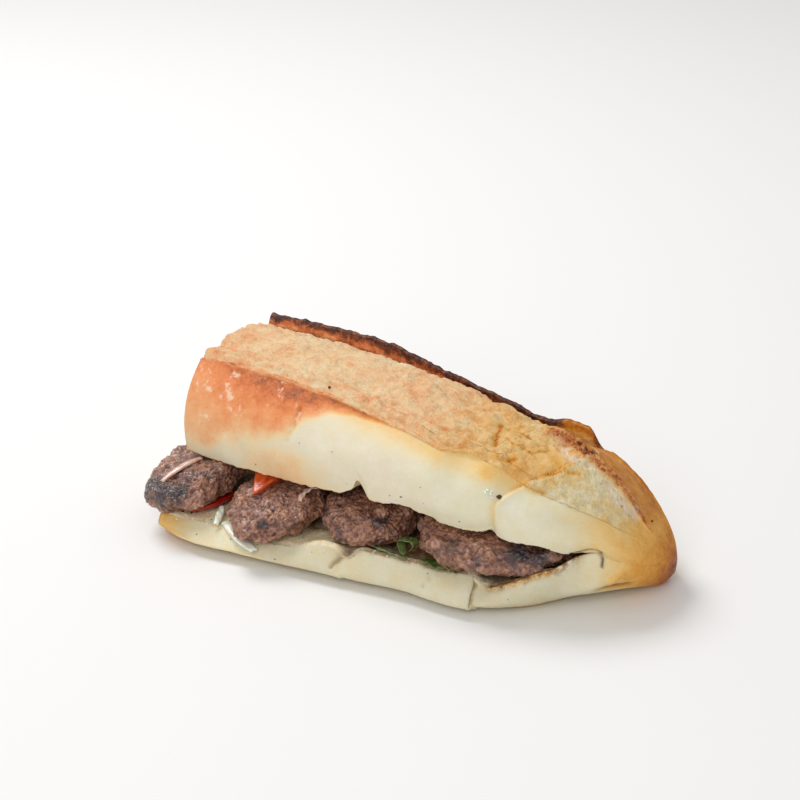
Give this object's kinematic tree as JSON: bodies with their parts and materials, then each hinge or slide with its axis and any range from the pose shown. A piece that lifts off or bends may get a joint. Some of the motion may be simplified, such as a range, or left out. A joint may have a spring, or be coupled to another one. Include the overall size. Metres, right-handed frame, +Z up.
{
  "type": "submarine sandwich",
  "caption": "Half of a crusty white loaf slit along its front, filled with grilled ground-meat patties, tomato, lettuce and onion, standing on its flat base.",
  "frame": {"origin": "on the surface the sandwich stands on, under the middle of its box", "axes": "+X along the loaf from the cut end to the whole heel, +Y from the slit towards the hinge at the back, +Z up"},
  "size_m": [0.2146, 0.1048, 0.0689],
  "materials": {
    "crust": "soft baked bread crust, orange brown on the ridge and pale cream below",
    "meat": "grilled ground meat, granular and slightly greasy",
    "tomato": "wet cut tomato",
    "lettuce": "thin limp leaf",
    "rib": "white juicy leaf rib",
    "onion": "half clear onion sliver"
  },
  "bodies": {
    "root": {"bread": "crust", "patty_1": "meat", "patty_2": "meat", "patty_3": "meat", "patty_4": "meat", "tomato_wedge": "tomato", "tomato_slice": "tomato", "lettuce_rib": "rib", "lettuce_shred": "lettuce", "lettuce_strand": "lettuce", "lettuce_curl": "lettuce", "lettuce_leaf": "lettuce", "onion_sliver_1": "onion", "onion_sliver_2": "onion", "onion_thread": "onion"}
  },
  "joints": []
}
